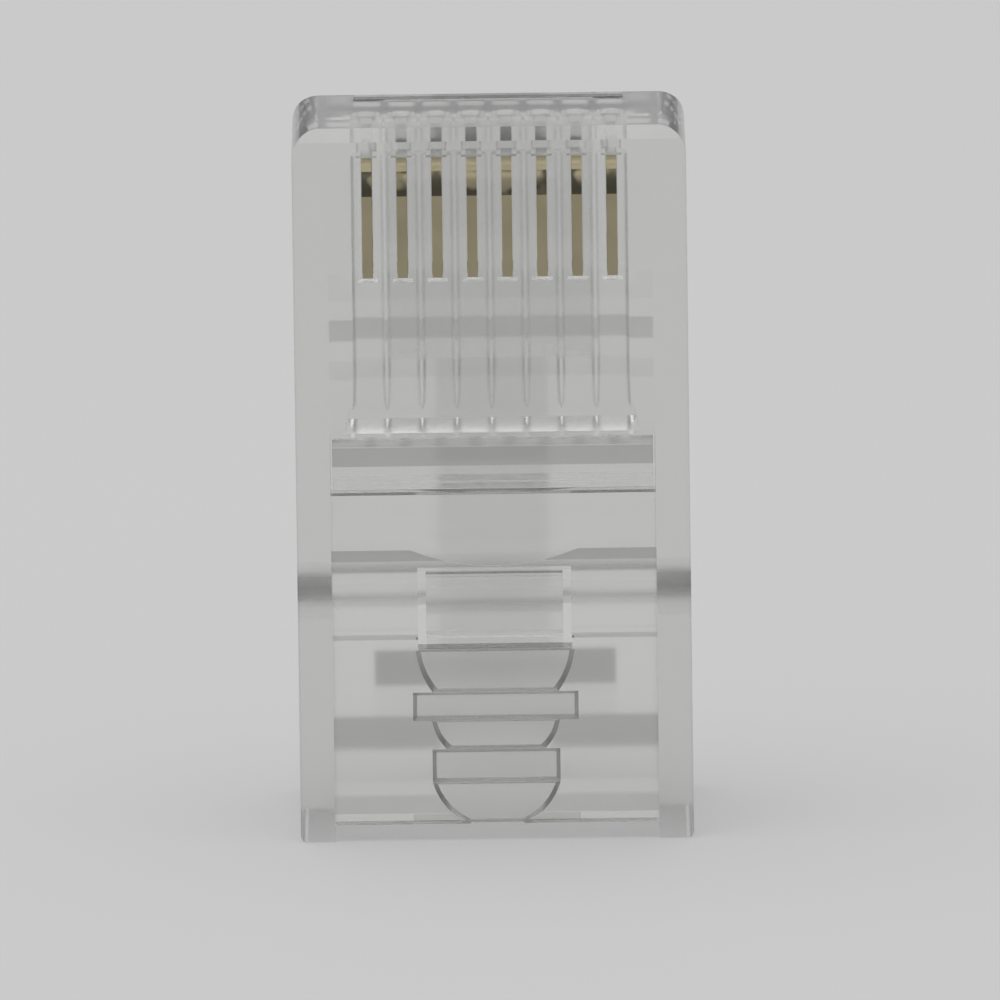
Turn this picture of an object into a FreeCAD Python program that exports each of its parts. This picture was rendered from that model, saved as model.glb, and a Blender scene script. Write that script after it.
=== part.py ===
"""An eight-way modular plug for round data cable, before it is crimped.

The clear housing is one moulding with two walls that give: a wire clamp bar and a cable clamp pawl,
each on a thin web, and a sprung latch on a web at the nose. Eight plated blades stand in its comb.
The plug stands on its cable end: +Z runs from the cable end to the nose, -Y is the contact side and
+Y the latch side. The origin is in the plane of the cable end, midway across the housing.
"""

import FreeCAD
import Part

import math
import os

# ---------------------------------------------------------------- driving dimensions, millimetres
# "from the nose" is a distance back from the nose, "from the cable end" one forward from the rim,
# and "depth" a distance in from the contact face.
plug_length = 21.1
plug_width = 11.5
nose_thickness = 6.6  # contact face to latch face
rear_thickness = 8.1  # the same, over the cable
rear_step_place = 7.7  # from the cable end, where the latch face begins to curve out
rear_step_run = 2.0
nose_corner_radius = 0.8
rim_corner_radius = 0.2
nose_chamfer_run = 0.34  # of the contact edge, back from the nose
nose_chamfer_depth = 0.5
latch_edge_chamfer = 0.3

contact_count = 8
contact_pitch = 1.02
blade_thickness = 0.3
blade_length = 3.44
blade_height = 2.95
blade_front = 0.92  # from the nose
blade_front_radius = 0.95
blade_notch_height = 0.85
blade_tip_flat = 0.08
blade_points = 3
blade_root_gap = 0.3  # width of a notch where it is cut deepest
blade_barb = 0.03
blade_barb_start = 1.12  # depth
blade_barb_length = 0.4
blade_clearance = 0.015

groove_width = 0.60
groove_depth = 0.62
groove_end_gap = 0.12  # past each end of a blade

channel_width = 0.94
channel_draft = 0.08  # lost on each side between its top and its bottom
channel_top = 2.95  # depth
channel_bottom = 4.05
channel_tip_width = 0.58
channel_tip_bottom = 3.85  # depth of its round floor
channel_tip_front = 0.55  # from the nose: the end wall
channel_front = 1.05  # from the nose, where it reaches full width
channel_back = 8.6
channel_flare_length = 0.9
channel_rib_tip = 0.02  # thickness left between two flared mouths
slot_overreach = 0.2  # of each blade slot into its channel

cavity_width = 9.5
contact_wall = 1.05
latch_wall = 1.05
funnel_throat_side = 0.06  # how far the throat is outside the channels, each side
funnel_mouth_side = 0.14  # how far its mouth is outside its throat
funnel_ramp = 0.23  # run of its steep side under the contact face
wires_floor_place = 7.3  # from the cable end, where the cavity's floor leaves the channels' level

nose_pocket_width = 7.9
nose_pocket_top = 5.05  # depth
nose_pocket_bottom = 5.95
nose_pocket_run = 0.06

core_depth = 0.3  # of the two shallow pockets in the latch face
front_core_start = 1.7  # from the nose
front_core_deepest = 4.92
front_core_end = 5.78
rear_core_start = 6.33
rear_core_slope = 0.6  # run of each sloped end
rear_core_length = 1.79

wire_pocket_start = 9.08  # from the nose
wire_pocket_length = 1.7
wire_bar_side_clearance = 0.06
wire_bar_valley = 0.92  # from the pocket's front wall to the crimping groove's bottom
wire_bar_front_depth = 0.12
wire_bar_valley_depth = 0.3
wire_bar_back_depth = 0.1
wire_bar_underside = 1.9  # depth
wire_bar_toe_radius = 0.25
wire_bar_clearance = 0.08
wire_web_length = 0.15
wire_web = 0.22

clamp_recess_lead = 0.66  # how far the recess in the contact face starts ahead of the window
clamp_recess_slope = 0.36
clamp_recess_length = 2.66
clamp_recess_depth = 0.16
clamp_recess_back_slope = 0.12
clamp_lip_width = 4.9  # of the round lip that the recess leaves in front of the clamp
clamp_lip_length = 0.5
clamp_pocket_place = 5.75  # from the cable end to the window's back
clamp_pocket_length = 2.25
clamp_pocket_width = 4.5
clamp_side_clearance = 0.25
clamp_end_clearance = 0.1
clamp_front_depth = 0.2
clamp_back_depth = 0.26
clamp_nose_depth = 2.25
clamp_nose_radius = 0.4
clamp_heel_depth = 2.25
clamp_web = 0.4
clamp_web_length = 0.25
hinge_clearance = 0.02

scoop_depth = 0.34  # of the scoops behind the cable clamp, into the contact wall's inner face
scoop_wall_run = 0.15  # how far their sloped walls run in
scoop_land = 0.2  # from the clamp's window to the first scoop
scoop_bulge = 0.2  # share of the narrowing by which a side's middle stands out
first_scoop_width = 4.65
first_scoop_narrow = 3.7
first_scoop_length = 1.25
grip_rib_width = 4.85
grip_rib_length = 0.85
grip_rib_height = 0.3
rib_draft = 0.12  # run of each rib's four sloped sides
later_scoop_width = 3.75
second_scoop_narrow = 2.9
second_scoop_length = 0.85
end_rib_width = 3.75
end_rib_length = 1.0
end_rib_height = 0.2
third_scoop_narrow = 1.8
third_scoop_length = 1.2

lead_step_width = 7.1  # grooves in the latch wall's inner face
lead_step_place = 4.44  # from the cable end
lead_step_length = 1.16
lead_return_length = 0.83
lead_recess_length = 1.03
lead_depth = 0.45
lead_return_depth = 0.05

rim_relief = 0.5  # how far the contact wall stops short of the cable end
rim_chamfer_run = 0.2
rim_chamfer_rise = 0.12  # of the contact wall
rim_latch_chamfer_run = 0.5
rim_latch_chamfer_rise = 0.28

latch_wide_width = 6.1
latch_tab_width = 3.25
latch_root_front = 0.35  # from the nose
latch_root_lip = 6.0  # degrees by which its round top laps past the latch
latch_hinge = 1.35  # from the nose
latch_hinge_stand = 0.68  # hinge above the latch face
latch_knuckle_radius = 0.46
latch_wide_length = 6.65  # hinge to the catch faces
latch_tab_length = 18.6  # hinge to the tip
latch_catch_height = 1.15  # over the hinge line
latch_ramp_start = 1.1
latch_ramp_end = 3.1
latch_tab_outer = 0.7
latch_tab_fall = 0.6  # run over which the tab drops from the catch's height
latch_tab_bend_start = 8.2
latch_tab_bend = 1.5  # degrees, outwards
latch_rest_angle = 13.5

# ---------------------------------------------------------------- places worked out from them
half_thickness = nose_thickness / 2
rear_inner_depth = rear_thickness - latch_wall
rear_step_start = plug_length - rear_step_place
wires_floor_end = plug_length - wires_floor_place
lead_step_start = plug_length - lead_step_place
contact_xs = [(i - (contact_count - 1) / 2) * contact_pitch for i in range(contact_count)]
slot_width = blade_thickness + 2 * blade_clearance
slot_front = blade_front - blade_barb - blade_clearance
slot_back = blade_front + blade_length + blade_barb + blade_clearance
throat_width = contact_count * contact_pitch + 2 * funnel_throat_side
wire_pocket_back = wire_pocket_start + wire_pocket_length
wire_bar_width = cavity_width - 2 * wire_bar_side_clearance
wire_hinge_depth = contact_wall - wire_web / 2
clamp_pocket_back = plug_length - clamp_pocket_place
clamp_pocket_start = clamp_pocket_back - clamp_pocket_length
clamp_recess_start = clamp_pocket_start - clamp_recess_lead
clamp_width = clamp_pocket_width - 2 * clamp_side_clearance
clamp_hinge_depth = contact_wall - clamp_web / 2
first_scoop_start = clamp_pocket_back + scoop_land
grip_rib_start = first_scoop_start + first_scoop_length
second_scoop_start = grip_rib_start + grip_rib_length
end_rib_start = second_scoop_start + second_scoop_length
hinge_depth = nose_thickness + latch_hinge_stand
spare = 1.0  # how far cutting tools run past the faces they cut
lap = 0.01  # how far two joined cutting tools share a space


# ---------------------------------------------------------------- building blocks
def place(x, from_nose, depth):
    """A point from its place across the plug, back from the nose and in from the contact face."""
    return FreeCAD.Vector(x, depth - half_thickness, plug_length - from_nose)


def side_wire(points, x):
    """A closed wire in the side view; a pair of points in the list is an arc's middle and end."""
    edges = []
    start = points[0]
    for item in points[1:] + [points[0]]:
        if isinstance(item[0], tuple):
            middle, end = item
            edges.append(Part.Arc(place(x, *start), place(x, *middle), place(x, *end)).toShape())
        else:
            end = item
            if start != end:
                edges.append(Part.LineSegment(place(x, *start), place(x, *end)).toShape())
        start = end
    return Part.Wire(edges)


def side_prism(points, width, centre=0.0):
    """A solid of one side-view outline, drawn out across the plug."""
    face = Part.Face(side_wire(points, centre - width / 2))
    return face.extrude(FreeCAD.Vector(width, 0, 0))


def block(width, from_nose, to_nose, top, bottom, centre=0.0):
    """A plain block, by its width and its limits along and into the plug."""
    corner = place(centre - width / 2, to_nose, top)
    return Part.makeBox(width, bottom - top, to_nose - from_nose, corner)


def plan_prism(points, top, bottom):
    """A solid of one outline seen from the contact side, from one depth to another."""
    corners = [place(x, from_nose, top) for x, from_nose in points]
    face = Part.Face(Part.makePolygon(corners + corners[:1]))
    return face.extrude(FreeCAD.Vector(0, bottom - top, 0))


def channel_section(width, from_nose, centre):
    """A wire round a wire channel's section, for a loft: it narrows towards its bottom."""
    top = width / 2
    bottom = top - channel_draft
    corners = [
        place(centre + x, from_nose, depth)
        for x, depth in (
            (-top, channel_top),
            (top, channel_top),
            (bottom, channel_bottom),
            (-bottom, channel_bottom),
        )
    ]
    return Part.makePolygon(corners + corners[:1])


def polar(centre, radius, degrees):
    """A side-view point at an angle, turning from 'back from the nose' towards 'deeper'."""
    angle = math.radians(degrees)
    return (centre[0] + radius * math.cos(angle), centre[1] + radius * math.sin(angle))


# ---------------------------------------------------------------- housing
def s_curve(start, level, run, end_level):
    """Two equal arcs from a face's far level back to its near one, tangent to both faces."""
    rise = end_level - level
    radius = (run * run + rise * rise) / (4 * rise)
    turn = math.degrees(math.asin(run / (2 * radius)))
    outer = (start + run, end_level - radius)
    inner = (start, level + radius)
    middle = (start + run / 2, level + rise / 2)
    return [
        (polar(outer, radius, 90.0 + turn / 2), middle),
        (polar(inner, radius, 270.0 + turn / 2), (start, level)),
    ]


def outer_form():
    """The housing's outside: its side view, trimmed to its front view with rounded corners."""
    side = side_prism(
        [
            (nose_chamfer_run, 0.0),
            (plug_length, 0.0),
            (plug_length, rear_thickness),
            (rear_step_start + rear_step_run, rear_thickness),
            *s_curve(rear_step_start, nose_thickness, rear_step_run, rear_thickness),
            (latch_edge_chamfer, nose_thickness),
            (0.0, nose_thickness - latch_edge_chamfer),
            (0.0, nose_chamfer_depth),
        ],
        plug_width,
    )
    front = block(plug_width, 0.0, plug_length, -spare, rear_thickness + spare)
    for level, radius in ((plug_length, nose_corner_radius), (0.0, rim_corner_radius)):
        corners = [e for e in front.Edges if on_side_edge(e, level)]
        front = front.makeFillet(radius, corners)
    return side.common(front)


def on_side_edge(edge, level):
    """Whether an edge lies along a side face, across the plug's thickness, at one level."""
    middle = edge.CenterOfMass
    return abs(middle.z - level) < 1e-6 and abs(abs(middle.x) - plug_width / 2) < 1e-6


def latch_root():
    """The stub on the latch face that carries the latch, with the seat of its hinge."""
    hinge = (latch_hinge, hinge_depth)
    seat = latch_knuckle_radius + hinge_clearance
    lip = 90.0 + latch_rest_angle + latch_root_lip
    top = polar(hinge, seat, lip)
    round_radius = top[0] - latch_root_front
    sunk = nose_thickness - latch_edge_chamfer
    return side_prism(
        [
            (latch_root_front, sunk),
            (latch_root_front, top[1] - round_radius),
            (polar((top[0], top[1] - round_radius), round_radius, 135.0), top),
            (polar(hinge, seat, (lip + 270.0) / 2), polar(hinge, seat, 270.0)),
            (latch_hinge, sunk),
        ],
        latch_wide_width,
    )


def round_floored(width, from_nose, to_nose, top, bottom, x):
    """A straight channel with a flat top and a round floor."""
    radius = width / 2
    square = block(width, from_nose, to_nose, top, bottom - radius, x)
    floor = Part.makeCylinder(radius, to_nose - from_nose, place(x, to_nose, bottom - radius))
    return [square, floor]


def wire_channel(x):
    """One wire's channel: a narrow round-floored end by the nose, and ribs that thin out at its mouth."""
    tip = round_floored(
        channel_tip_width, channel_tip_front, channel_front + lap, channel_top, channel_tip_bottom, x
    )
    mouth_width = contact_pitch - channel_rib_tip
    mouth_from = channel_back - channel_flare_length
    bore, mouth = [
        Part.makeLoft([channel_section(first, start, x), channel_section(last, end, x)], True, True)
        for first, start, last, end in (
            (channel_width, channel_front, channel_width, mouth_from + lap),
            (channel_width, mouth_from, mouth_width, channel_back + lap),
        )
    ]
    return bore.fuse(tip + [mouth])


def comb_cuts():
    """What the comb at the nose is cut by: a groove, a blade slot and a channel for each contact."""
    cuts = []
    groove_front = blade_front - groove_end_gap
    groove_back = blade_front + blade_length + groove_end_gap
    slot_bottom = channel_top + slot_overreach
    for x in contact_xs:
        cuts.append(block(groove_width, groove_front, groove_back, -spare, groove_depth, x))
        cuts.append(block(slot_width, slot_front, slot_back, -spare, slot_bottom, x))
        cuts.append(wire_channel(x))
    return cuts


def cable_cavity():
    """The hollow for the cable's jacket and its wires, with the funnel that leads them to the channels."""
    mouth_at = wire_pocket_start
    floor_run = rear_step_start + rear_step_run
    jacket = side_prism(
        [
            (plug_length + spare, contact_wall),
            (mouth_at, contact_wall),
            (mouth_at, channel_bottom),
            (wires_floor_end, channel_bottom),
            (floor_run, rear_inner_depth),
            (plug_length + spare, rear_inner_depth),
        ],
        cavity_width,
    )
    throat = side_prism(
        [
            (channel_back, channel_top),
            (mouth_at - funnel_ramp, channel_top),
            (mouth_at, contact_wall),
            (mouth_at + lap, contact_wall),
            (mouth_at + lap, channel_bottom),
            (channel_back, channel_bottom),
        ],
        cavity_width,
    )
    narrow = throat_width / 2
    wide = narrow + funnel_mouth_side
    plan = plan_prism(
        [
            (-narrow, channel_back),
            (narrow, channel_back),
            (wide, mouth_at + lap),
            (-wide, mouth_at + lap),
        ],
        0.0,
        nose_thickness,
    )
    return jacket.fuse(throat.common(plan))


def wire_clamp_pocket():
    """The window in the contact wall that the wire clamp swings in through."""
    bottom = contact_wall + lap
    window = block(cavity_width, wire_pocket_start, wire_pocket_back, -spare, bottom)
    return window.fuse(hinge_seat(wire_web, cavity_width, wire_pocket_back, wire_hinge_depth))


def hinge_seat(web, width, from_nose, depth):
    """The round groove, along a window's back wall, that a clamp's web turns in."""
    start = place(-width / 2, from_nose, depth)
    return Part.makeCylinder(web / 2 + hinge_clearance, width, start, FreeCAD.Vector(1, 0, 0))


def cable_clamp_pocket():
    """The recess across the contact face, round a lip at its middle, and the cable clamp's window."""
    recess_back = clamp_recess_start + clamp_recess_length
    recess = side_prism(
        [
            (clamp_recess_start, 0.0),
            (clamp_recess_start + clamp_recess_slope, clamp_recess_depth),
            (recess_back - clamp_recess_back_slope, clamp_recess_depth),
            (recess_back, 0.0),
            (recess_back, -spare),
            (clamp_recess_start, -spare),
        ],
        cavity_width,
    )
    lip_side = clamp_lip_width / 2
    root = clamp_recess_start - spare
    corners = [
        place(side, from_nose, -2 * spare)
        for side, from_nose in (
            (-lip_side, clamp_recess_start),
            (-lip_side, root),
            (lip_side, root),
            (lip_side, clamp_recess_start),
        )
    ]
    tip = place(0.0, clamp_recess_start + clamp_lip_length, -2 * spare)
    rounded = Part.Arc(corners[3], tip, corners[0]).toShape()
    lip = Part.Face(Part.Wire(Part.makePolygon(corners).Edges + [rounded]))
    lip = lip.extrude(FreeCAD.Vector(0, nose_thickness, 0))
    bottom = contact_wall + lap
    window = block(clamp_pocket_width, clamp_pocket_start, clamp_pocket_back, -spare, bottom)
    seat = hinge_seat(clamp_web, clamp_pocket_width, clamp_pocket_back, clamp_hinge_depth)
    return recess.cut(lip).fuse([window, seat])


def scoop_outline(front, length, width, narrow, depth, inset):
    """A wire round one scoop at one depth: straight at the front, its sides curving in to the back."""
    start = front
    end = front + length - inset
    wide = width / 2 - inset
    slim = narrow / 2 - inset
    side = (wide + slim) / 2 + (wide - slim) * scoop_bulge
    left = [place(-wide, start, depth), place(-side, (start + end) / 2, depth), place(-slim, end, depth)]
    right = [place(wide, start, depth), place(side, (start + end) / 2, depth), place(slim, end, depth)]
    return Part.Wire(
        [
            Part.LineSegment(left[0], right[0]).toShape(),
            Part.Arc(*right).toShape(),
            Part.LineSegment(right[2], left[2]).toShape(),
            Part.Arc(*left[::-1]).toShape(),
        ]
    )


def scoop_cut(front, length, width, narrow):
    """One scoop in the contact wall's inner face, with sloped walls, as a cutting tool."""
    inner = scoop_outline(front, length, width, narrow, contact_wall + lap, 0.0)
    outer = scoop_outline(front, length, width, narrow, contact_wall - scoop_depth, scoop_wall_run)
    return Part.makeLoft([inner, outer], True, True)


def relief_cuts():
    """Scoops behind the cable clamp in one wall, and the lead-in grooves of the wall facing it."""
    third = end_rib_start + end_rib_length
    scoops = [
        scoop_cut(first_scoop_start, first_scoop_length, first_scoop_width, first_scoop_narrow),
        scoop_cut(second_scoop_start, second_scoop_length, later_scoop_width, second_scoop_narrow),
        scoop_cut(third, third_scoop_length, later_scoop_width, third_scoop_narrow),
    ]
    floor = rear_inner_depth - lap
    crest = lead_step_start + lead_step_length
    returned = crest + lead_return_length
    step = side_prism(
        [
            (lead_step_start, floor),
            (crest, rear_inner_depth + lead_depth),
            (returned, rear_inner_depth + lead_return_depth),
            (returned, floor),
        ],
        lead_step_width,
    )
    recess = side_prism(
        [
            (returned, floor),
            (returned + lead_recess_length, rear_inner_depth + lead_depth),
            (returned + lead_recess_length, floor),
        ],
        cavity_width,
    )
    return scoops + [step, recess]


def rim_cuts():
    """The chamfers round the cable entry, and the gap under the contact wall between the side walls."""
    wall_end = plug_length - rim_relief
    start = wall_end - rim_chamfer_run
    contact_side = side_prism(
        [
            (start, contact_wall),
            (wall_end, contact_wall - rim_chamfer_rise),
            (wall_end, contact_wall + lap),
            (start, contact_wall + lap),
        ],
        cavity_width,
    )
    start = plug_length - rim_latch_chamfer_run
    latch_side = side_prism(
        [
            (start, rear_inner_depth),
            (plug_length, rear_inner_depth + rim_latch_chamfer_rise),
            (plug_length, rear_inner_depth - lap),
            (start, rear_inner_depth - lap),
        ],
        cavity_width,
    )
    gap = block(cavity_width, wall_end, plug_length + spare, -spare, contact_wall)
    return [contact_side, latch_side, gap]


def latch_side_pockets():
    """The two shallow pockets that even out the latch wall under the wire channels."""
    above = nose_thickness + spare
    floor = nose_thickness - core_depth
    rear_end = rear_core_start + rear_core_length
    front = [
        (front_core_start, nose_thickness),
        (front_core_deepest, floor),
        (front_core_end, nose_thickness),
    ]
    rear = [
        (rear_core_start, nose_thickness),
        (rear_core_start + rear_core_slope, floor),
        (rear_end - rear_core_slope, floor),
        (rear_end, nose_thickness),
    ]
    return [
        side_prism([(line[0][0], above), *line, (line[-1][0], above)], cavity_width)
        for line in (front, rear)
    ]


def rib_in_cavity(width, start, length, height):
    """A rib across the contact wall's inner face, with its four sides sloped."""
    outlines = []
    for inset, depth in ((0.0, contact_wall - lap), (rib_draft, contact_wall + height)):
        side = width / 2 - inset
        front = start + inset
        back = start + length - inset
        corners = [(-side, front), (side, front), (side, back), (-side, back)]
        corners = [place(x, from_nose, depth) for x, from_nose in corners]
        outlines.append(Part.makePolygon(corners + corners[:1]))
    return Part.makeLoft(outlines, True, True)


def make_housing():
    """The clear moulding that holds everything."""
    cuts = comb_cuts() + relief_cuts() + rim_cuts()
    cuts += latch_side_pockets() + [cable_cavity(), wire_clamp_pocket(), cable_clamp_pocket()]
    cuts.append(block(nose_pocket_width, -spare, nose_pocket_run, nose_pocket_top, nose_pocket_bottom))
    body = outer_form().fuse(latch_root())
    body = body.cut(cuts[0].multiFuse(cuts[1:]))
    ribs = [
        rib_in_cavity(grip_rib_width, grip_rib_start, grip_rib_length, grip_rib_height),
        rib_in_cavity(end_rib_width, end_rib_start, end_rib_length, end_rib_height),
    ]
    return body.fuse(ribs).removeSplitter()


# ---------------------------------------------------------------- contacts
def barb(end, outwards):
    """The small point on one end of a blade that bites into the wall of its slot."""
    middle = blade_barb_start + blade_barb_length / 2
    point = (end + outwards * blade_barb, middle)
    return [(end, blade_barb_start), point, (end, blade_barb_start + blade_barb_length)]


def make_contact(x):
    """One blade: a round shoulder at the nose, a barb on each end, and points to pierce the wire."""
    back = blade_front + blade_length
    notch_top = blade_height - blade_notch_height
    shoulder = (blade_front + blade_front_radius, blade_front_radius)
    outline = [(shoulder[0], 0.0), (back, 0.0)] + barb(back, 1) + [(back, notch_top)]
    bay = blade_length / blade_points
    for i in range(blade_points):
        tip = back - (i + 0.5) * bay
        outline.append((tip + (bay - blade_root_gap) / 2, notch_top))
        outline.append((tip + blade_tip_flat / 2, blade_height))
        outline.append((tip - blade_tip_flat / 2, blade_height))
        outline.append((tip - (bay - blade_root_gap) / 2, notch_top))
    outline += [(blade_front, notch_top)] + barb(blade_front, -1)[::-1]
    outline.append((blade_front, blade_front_radius))
    outline.append((polar(shoulder, blade_front_radius, 225.0), (shoulder[0], 0.0)))
    return side_prism(outline, blade_thickness, x)


# ---------------------------------------------------------------- pieces that give
def make_wire_clamp():
    """The bar that is pressed down on the wires, with the web that it swings on."""
    axis = wire_pocket_back
    web_top = wire_hinge_depth - wire_web / 2
    web_bottom = wire_hinge_depth + wire_web / 2
    reach = wire_pocket_length - wire_bar_clearance
    front = axis - reach
    lift = math.degrees(math.asin((wire_hinge_depth - wire_bar_front_depth) / reach))
    hinge = (axis, wire_hinge_depth)
    valley = wire_pocket_start + wire_bar_valley
    back = wire_pocket_back - wire_web_length
    toe = (front + wire_bar_toe_radius, wire_bar_underside - wire_bar_toe_radius)
    return side_prism(
        [
            (front, wire_hinge_depth),
            (polar(hinge, reach, 180.0 + lift / 2), polar(hinge, reach, 180.0 + lift)),
            (valley, wire_bar_valley_depth),
            (back, wire_bar_back_depth),
            (back, web_top),
            (axis, web_top),
            ((axis + wire_web / 2, wire_hinge_depth), (axis, web_bottom)),
            (back, web_bottom),
            (back, wire_bar_underside),
            (toe[0], wire_bar_underside),
            (polar(toe, wire_bar_toe_radius, 135.0), (front, toe[1])),
        ],
        wire_bar_width,
    )


def make_cable_clamp():
    """The pawl that is pressed into the cable's jacket, with the web that it swings on."""
    axis = clamp_pocket_back
    web_top = clamp_hinge_depth - clamp_web / 2
    web_bottom = clamp_hinge_depth + clamp_web / 2
    front = clamp_pocket_start + clamp_end_clearance
    back = clamp_pocket_back - clamp_web_length
    nose = (front + clamp_nose_radius, clamp_nose_depth - clamp_nose_radius)
    return side_prism(
        [
            (front, clamp_front_depth),
            (back, clamp_back_depth),
            (back, web_top),
            (axis, web_top),
            ((axis + clamp_web / 2, clamp_hinge_depth), (axis, web_bottom)),
            (back, web_bottom),
            (back, clamp_heel_depth),
            (nose[0], clamp_nose_depth),
            (polar(nose, clamp_nose_radius, 135.0), (front, nose[1])),
        ],
        clamp_width,
    )


def latch_prism(points, width):
    """A latch outline, from distances along it and out from its hinge, drawn out across the plug."""
    moved = []
    for item in points:
        if isinstance(item[0], tuple):
            moved.append(tuple((latch_hinge + u, hinge_depth + v) for u, v in item))
        else:
            moved.append((latch_hinge + item[0], hinge_depth + item[1]))
    return side_prism(moved, width)


def past_bend(along, out):
    """A point of the latch's tab, turned outwards about the bend."""
    angle = math.radians(latch_tab_bend)
    ahead = along - latch_tab_bend_start
    return (
        latch_tab_bend_start + ahead * math.cos(angle) - out * math.sin(angle),
        ahead * math.sin(angle) + out * math.cos(angle),
    )


def make_latch():
    """The sprung lever: a wide part with the two catch faces, and the tab that a thumb presses."""
    radius = latch_knuckle_radius
    wide = latch_prism(
        [
            (0.0, -radius),
            (latch_wide_length, -radius),
            (latch_wide_length, latch_catch_height),
            (latch_ramp_end, latch_catch_height),
            (latch_ramp_start, radius),
            (0.0, radius),
            ((-radius, 0.0), (0.0, -radius)),
        ],
        latch_wide_width,
    )
    tip_radius = (latch_tab_outer + radius) / 2
    tip_start = latch_tab_length - tip_radius
    tab = latch_prism(
        [
            (latch_ramp_end, -radius),
            (latch_tab_bend_start, -radius),
            past_bend(tip_start, -radius),
            (past_bend(latch_tab_length, tip_radius - radius), past_bend(tip_start, latch_tab_outer)),
            past_bend(latch_tab_bend_start + latch_tab_outer, latch_tab_outer),
            (latch_wide_length + latch_tab_fall, latch_tab_outer),
            (latch_wide_length, latch_catch_height),
            (latch_ramp_end, latch_catch_height),
        ],
        latch_tab_width,
    )
    lever = wide.fuse(tab).removeSplitter()
    lever.rotate(place(0.0, latch_hinge, hinge_depth), FreeCAD.Vector(-1, 0, 0), -latch_rest_angle)
    return lever


# ---------------------------------------------------------------- build
def build():
    """Every piece, by the name of its node."""
    pieces = {
        "housing": make_housing(),
        "wire_clamp": make_wire_clamp(),
        "cable_clamp": make_cable_clamp(),
        "latch": make_latch(),
    }
    for number, x in enumerate(contact_xs, start=1):
        pieces["contact_%d" % number] = make_contact(x)
    return pieces


os.makedirs("parts", exist_ok=True)
for name, shape in build().items():
    shape.exportStep("parts/%s.step" % name)
    print(name, len(shape.Solids), "solid, valid", shape.isValid(), "volume %.3f" % shape.Volume)
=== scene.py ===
import math

import bpy
from mathutils import Euler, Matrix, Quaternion, Vector

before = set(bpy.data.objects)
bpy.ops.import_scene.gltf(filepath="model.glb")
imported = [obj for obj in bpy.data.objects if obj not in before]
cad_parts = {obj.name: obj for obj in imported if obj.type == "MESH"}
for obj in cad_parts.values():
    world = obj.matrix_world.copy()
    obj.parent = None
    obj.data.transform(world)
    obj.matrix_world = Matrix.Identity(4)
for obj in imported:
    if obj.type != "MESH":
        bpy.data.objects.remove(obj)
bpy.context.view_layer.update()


def toLinear(hexColour):
    # an sRGB hex colour as the linear numbers that a shader takes
    channels = [int(hexColour[i:i + 2], 16) / 255 for i in (1, 3, 5)]
    linear = [c / 12.92 if c <= 0.04045 else ((c + 0.055) / 1.055) ** 2.4 for c in channels]
    return linear + [1.0]


def addNode(tree, kind, settings=None, links=None):
    # one node, with its settings by property or socket, and its inputs linked
    node = tree.nodes.new(kind)
    for key, value in (settings or {}).items():
        if isinstance(key, int) or key in node.inputs:
            node.inputs[key].default_value = value
        else:
            setattr(node, key, value)
    for key, source in (links or {}).items():
        tree.links.new(source, node.inputs[key])
    return node


def insideBox(tree, point, corners):
    # 1 inside a box given by two corners, 0 outside it
    axes = addNode(tree, "ShaderNodeSeparateXYZ", links={0: point})
    inside = None
    for axis, (low, high) in enumerate(zip(*corners)):
        within = addNode(tree, "ShaderNodeMath", {
            "operation": "COMPARE", 1: (low + high) / 2, 2: (high - low) / 2},
            {0: axes.outputs[axis]})
        if inside is None:
            inside = within
        else:
            inside = addNode(tree, "ShaderNodeMath", {"operation": "MULTIPLY"}, {
                0: inside.outputs[0], 1: within.outputs[0]})
    return inside.outputs[0]


def newMaterial(name):
    material = bpy.data.materials.new(name)
    material.use_nodes = True
    material.node_tree.nodes.clear()
    return material, material.node_tree


# camera: square to the contact face, a little above it, and rolled by a hair
shot = {
    "target": (0.0002, -0.0033, 0.01012),
    "distance": 0.8,
    "elevation": 10.5,
    "roll": -0.75,
    "frameWidth": 0.0292,  # what the frame holds across, at the target
    "sensorWidth": 36,
    "clipNear": 0.001,
    "clipFar": 5,
}


def addCamera(look):
    data = bpy.data.cameras.new("camera")
    data.sensor_width = look["sensorWidth"]
    data.lens = data.sensor_width * look["distance"] / look["frameWidth"]
    data.clip_start = look["clipNear"]
    data.clip_end = look["clipFar"]
    camera = bpy.data.objects.new("camera", data)
    bpy.context.scene.collection.objects.link(camera)
    rise = math.radians(look["elevation"])
    away = Vector((0, -math.cos(rise), math.sin(rise))) * look["distance"]
    camera.location = Vector(look["target"]) + away
    aim = Euler((math.pi / 2 - rise, 0, 0)).to_quaternion()
    camera.rotation_mode = "QUATERNION"
    camera.rotation_quaternion = aim @ Quaternion((0, 0, 1), math.radians(look["roll"]))
    bpy.context.scene.camera = camera


addCamera(shot)
print("scene: camera set")


def seenRays(tree):
    # 1 for what is seen directly, in gloss or through glass, and 0 for what lights the scene
    path = addNode(tree, "ShaderNodeLightPath")
    direct = addNode(tree, "ShaderNodeMath", {"operation": "MAXIMUM"}, {
        0: path.outputs["Is Camera Ray"], 1: path.outputs["Is Glossy Ray"]})
    seen = addNode(tree, "ShaderNodeMath", {"operation": "MAXIMUM"}, {
        0: direct.outputs[0], 1: path.outputs["Is Transmission Ray"]})
    return seen.outputs[0]


# the pale table top: what is seen of it glows by half, which keeps it pale under plain light
tableTop = {
    "size": 1.6,
    "colour": "#e2e2e2",
    "roughness": 0.7,
    "gloss": 0.2,
    "glowShare": 0.5,
    "glowStrength": 0.78,
}


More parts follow.
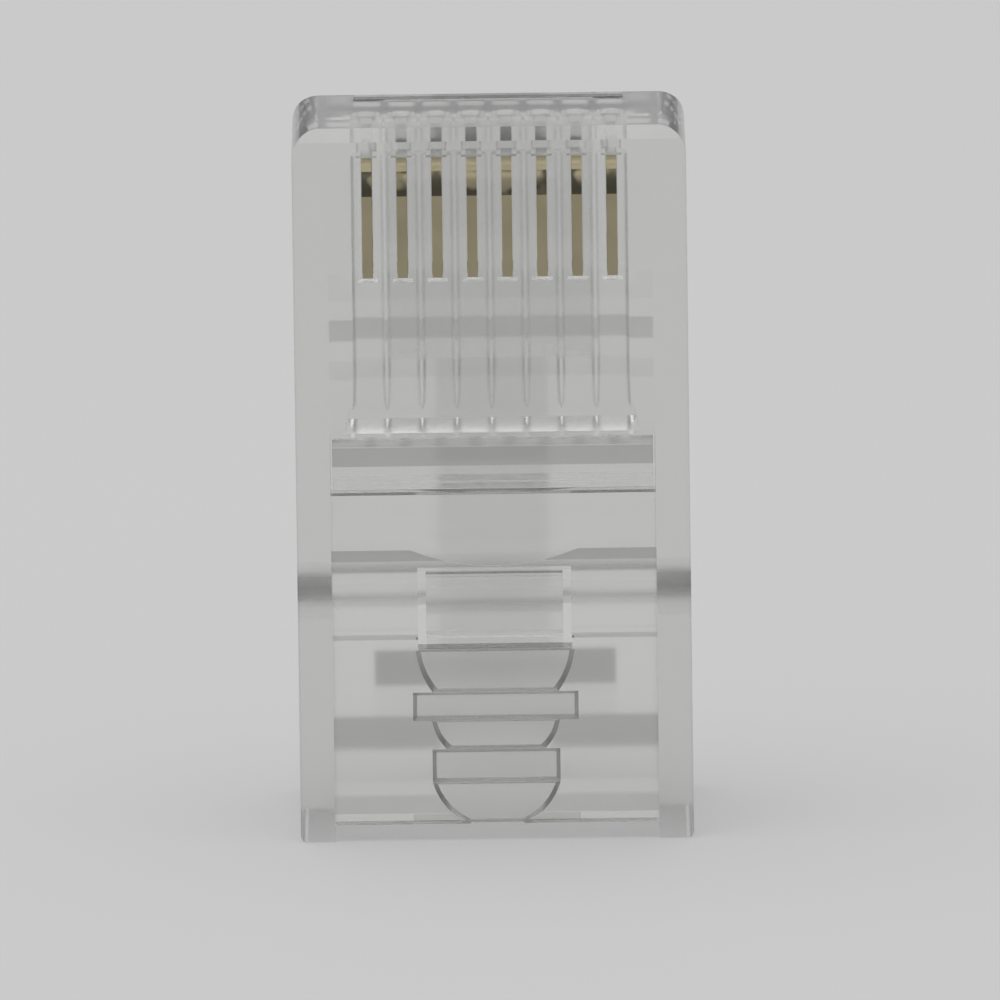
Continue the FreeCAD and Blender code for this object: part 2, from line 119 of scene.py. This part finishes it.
def addFloor(values):
    bpy.ops.object.select_all(action="DESELECT")
    bpy.ops.mesh.primitive_plane_add(size=values["size"], location=(0, 0, 0))
    floor = bpy.context.object
    floor.name = "floor"
    material, tree = newMaterial("pale_table_top")
    shader = addNode(tree, "ShaderNodeBsdfPrincipled", {
        "Base Color": toLinear(values["colour"]), "Roughness": values["roughness"],
        "Specular IOR Level": values["gloss"]})
    glow = addNode(tree, "ShaderNodeEmission", {
        "Color": toLinear(values["colour"]), "Strength": values["glowStrength"]})
    share = addNode(tree, "ShaderNodeMath", {
        "operation": "MULTIPLY", 1: values["glowShare"]}, {0: seenRays(tree)})
    mix = addNode(tree, "ShaderNodeMixShader", links={
        0: share.outputs[0], 1: shader.outputs["BSDF"], 2: glow.outputs["Emission"]})
    addNode(tree, "ShaderNodeOutputMaterial", links={"Surface": mix.outputs[0]})
    floor.data.materials.append(material)


# one broad lamp overhead
lamps = {
    "topLamp": {"place": (-0.10, -0.05, 0.60), "aim": (0, 0, 0.01), "size": 1.0, "power": 1.8},
}


def addLamp(name, values):
    data = bpy.data.lights.new(name, "AREA")
    data.shape = "DISK"
    data.size = values["size"]
    data.energy = values["power"]
    lamp = bpy.data.objects.new(name, data)
    bpy.context.scene.collection.objects.link(lamp)
    lamp.location = values["place"]
    towards = Vector(values["aim"]) - lamp.location
    lamp.rotation_mode = "QUATERNION"
    lamp.rotation_quaternion = towards.to_track_quat("-Z", "Y")


# the soft studio: even light all round, seen as a grey horizon that pales upwards
studio = {
    "colour": "#ffffff",
    "light": 0.5,
    "horizonSeen": 0.32,
    "skySeen": 0.6,
    "hazeBottom": 0.06,  # where the paling starts and ends: 0 is level and 1 is overhead
    "hazeTop": 0.17,
}


def setWorld(values):
    world = bpy.data.worlds.new("studio")
    bpy.context.scene.world = world
    world.use_nodes = True
    tree = world.node_tree
    tree.nodes.clear()
    light = addNode(tree, "ShaderNodeBackground", {
        "Color": toLinear(values["colour"]), "Strength": values["light"]})
    coords = addNode(tree, "ShaderNodeTexCoord")
    height = addNode(tree, "ShaderNodeSeparateXYZ", links={0: coords.outputs["Generated"]})
    haze = addNode(tree, "ShaderNodeMapRange", {
        "interpolation_type": "SMOOTHSTEP",
        "From Min": values["hazeBottom"], "From Max": values["hazeTop"],
        "To Min": values["horizonSeen"], "To Max": values["skySeen"]},
        {"Value": height.outputs["Z"]})
    view = addNode(tree, "ShaderNodeBackground", {"Color": toLinear(values["colour"])},
                   {"Strength": haze.outputs["Result"]})
    mix = addNode(tree, "ShaderNodeMixShader", links={
        0: seenRays(tree), 1: light.outputs[0], 2: view.outputs[0]})
    addNode(tree, "ShaderNodeOutputWorld", links={"Surface": mix.outputs[0]})


addFloor(tableTop)
for lampName, lampValues in lamps.items():
    addLamp(lampName, lampValues)
setWorld(studio)
bpy.context.scene.view_settings.view_transform = "Standard"
print("scene: stage and lamps set")

# the clear moulding, matte on its cable grips and on the step of its latch face;
# its boxes are in metres, and its scales count waves to the metre
polycarbonate = {
    "colour": "#fbfbfa",
    "ior": 1.586,
    "clearness": 0.99,
    "absorbColour": "#b9bab9",
    "absorbDensity": 48.0,
    "roughness": 0.1,
    "matteRoughness": 0.4,
    "scoopBox": ((-0.00245, -0.0027, -0.001), (0.00245, -0.00226, 0.0057)),
    "ribBox": ((-0.00245, -0.00224, -0.001), (0.00245, -0.0019, 0.0057)),
    "stepBox": ((-0.006, 0.00331, 0.0057), (0.006, 0.0049, 0.0077)),
    "flowScale": 260.0,  # flow marks nearly 4 mm across
    "flowDetail": 2.0,
    "flowStrength": 0.12,
    "flowDepth": 0.00002,
}


def mouldedPolycarbonate(values):
    # injection-moulded clear polycarbonate: glassy, faintly grey, with soft flow marks
    material, tree = newMaterial("moulded_polycarbonate")
    coords = addNode(tree, "ShaderNodeTexCoord")
    flow = addNode(tree, "ShaderNodeTexNoise", {
        "Scale": values["flowScale"], "Detail": values["flowDetail"]},
        {"Vector": coords.outputs["Object"]})
    bump = addNode(tree, "ShaderNodeBump", {
        "Strength": values["flowStrength"], "Distance": values["flowDepth"]},
        {"Height": flow.outputs["Fac"]})
    grip = addNode(tree, "ShaderNodeMath", {"operation": "MAXIMUM"}, {
        0: insideBox(tree, coords.outputs["Object"], values["scoopBox"]),
        1: insideBox(tree, coords.outputs["Object"], values["ribBox"])})
    matte = addNode(tree, "ShaderNodeMath", {"operation": "MAXIMUM"}, {
        0: grip.outputs[0],
        1: insideBox(tree, coords.outputs["Object"], values["stepBox"])})
    rough = addNode(tree, "ShaderNodeMapRange", {
        "To Min": values["roughness"], "To Max": values["matteRoughness"]},
        {"Value": matte.outputs[0]})
    shader = addNode(tree, "ShaderNodeBsdfPrincipled", {
        "Base Color": toLinear(values["colour"]), "IOR": values["ior"],
        "Transmission Weight": values["clearness"]},
        {"Normal": bump.outputs["Normal"], "Roughness": rough.outputs["Result"]})
    absorb = addNode(tree, "ShaderNodeVolumeAbsorption", {
        "Color": toLinear(values["absorbColour"]), "Density": values["absorbDensity"]})
    addNode(tree, "ShaderNodeOutputMaterial", links={
        "Surface": shader.outputs["BSDF"], "Volume": absorb.outputs["Volume"]})
    return material


# the blades: plated all over, with a painted dark reflection in patches on their edges near
# the nose;
# the plating's real marks are too fine to show, so they are made coarser
bladePlate = {
    "colour": "#9e957a",
    "paleColour": "#b9af93",
    "roughness": 0.34,
    "markScale": 900.0,  # marks about 1.1 mm across
    "markDetail": 3.0,
    # painted dark reflection: the colour and box of the dark patches painted on the blade
    # edges near the nose
    "paintedReflectionColour": "#575346",
    "paintedReflectionBox": ((-0.006, -0.0034, 0.01915), (0.006, -0.0022, 0.01985)),
    "patchScale": 1500.0,  # patches about 0.7 mm across
    "patchDetail": 1.0,
    "patchLow": 0.38,
    "patchHigh": 0.5,
    "patchLeast": 0.3,
    "edgeFacing": 0.5,  # an edge faces sideways by less than this, and a side by more
}


def platedBronze(values):
    # gold-plated phosphor bronze, stamped: a dull warm metal with faint marks
    material, tree = newMaterial("gold_plated_bronze")
    coords = addNode(tree, "ShaderNodeTexCoord")
    marks = addNode(tree, "ShaderNodeTexNoise", {
        "Scale": values["markScale"], "Detail": values["markDetail"]},
        {"Vector": coords.outputs["Object"]})
    tint = addNode(tree, "ShaderNodeMix", {
        "data_type": "RGBA", 6: toLinear(values["colour"]), 7: toLinear(values["paleColour"])},
        {0: marks.outputs["Fac"]})
    # painted dark reflection: patches of dark colour on the edges, inside a box near the nose,
    # stand in for a reflection
    paintedReflectionArea = insideBox(tree, coords.outputs["Object"], values["paintedReflectionBox"])
    patches = addNode(tree, "ShaderNodeTexNoise", {
        "Scale": values["patchScale"], "Detail": values["patchDetail"]},
        {"Vector": coords.outputs["Object"]})
    patchy = addNode(tree, "ShaderNodeMapRange", {
        "From Min": values["patchLow"], "From Max": values["patchHigh"],
        "To Min": values["patchLeast"]}, {"Value": patches.outputs["Fac"]})
    surface = addNode(tree, "ShaderNodeNewGeometry")
    facing = addNode(tree, "ShaderNodeSeparateXYZ", links={0: surface.outputs["Normal"]})
    edge = addNode(tree, "ShaderNodeMath", {
        "operation": "COMPARE", 1: 0.0, 2: values["edgeFacing"]}, {0: facing.outputs["X"]})
    edgePatch = addNode(tree, "ShaderNodeMath", {"operation": "MULTIPLY"}, {
        0: patchy.outputs["Result"], 1: edge.outputs[0]})
    dark = addNode(tree, "ShaderNodeMath", {"operation": "MULTIPLY"}, {
        0: paintedReflectionArea, 1: edgePatch.outputs[0]})
    metal = addNode(tree, "ShaderNodeMix", {
        "data_type": "RGBA", 7: toLinear(values["paintedReflectionColour"])},
        {0: dark.outputs[0], 6: tint.outputs[2]})
    shader = addNode(tree, "ShaderNodeBsdfPrincipled", {
        "Metallic": 1.0, "Roughness": values["roughness"]},
        {"Base Color": metal.outputs[2]})
    addNode(tree, "ShaderNodeOutputMaterial", links={"Surface": shader.outputs["BSDF"]})
    return material


clearPlastic = mouldedPolycarbonate(polycarbonate)
platedMetal = platedBronze(bladePlate)
for nodeName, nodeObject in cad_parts.items():
    finish = platedMetal if nodeName.startswith("contact_") else clearPlastic
    for materialSlot in nodeObject.material_slots:
        materialSlot.material = finish
print("scene: materials on", len(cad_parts), "pieces")
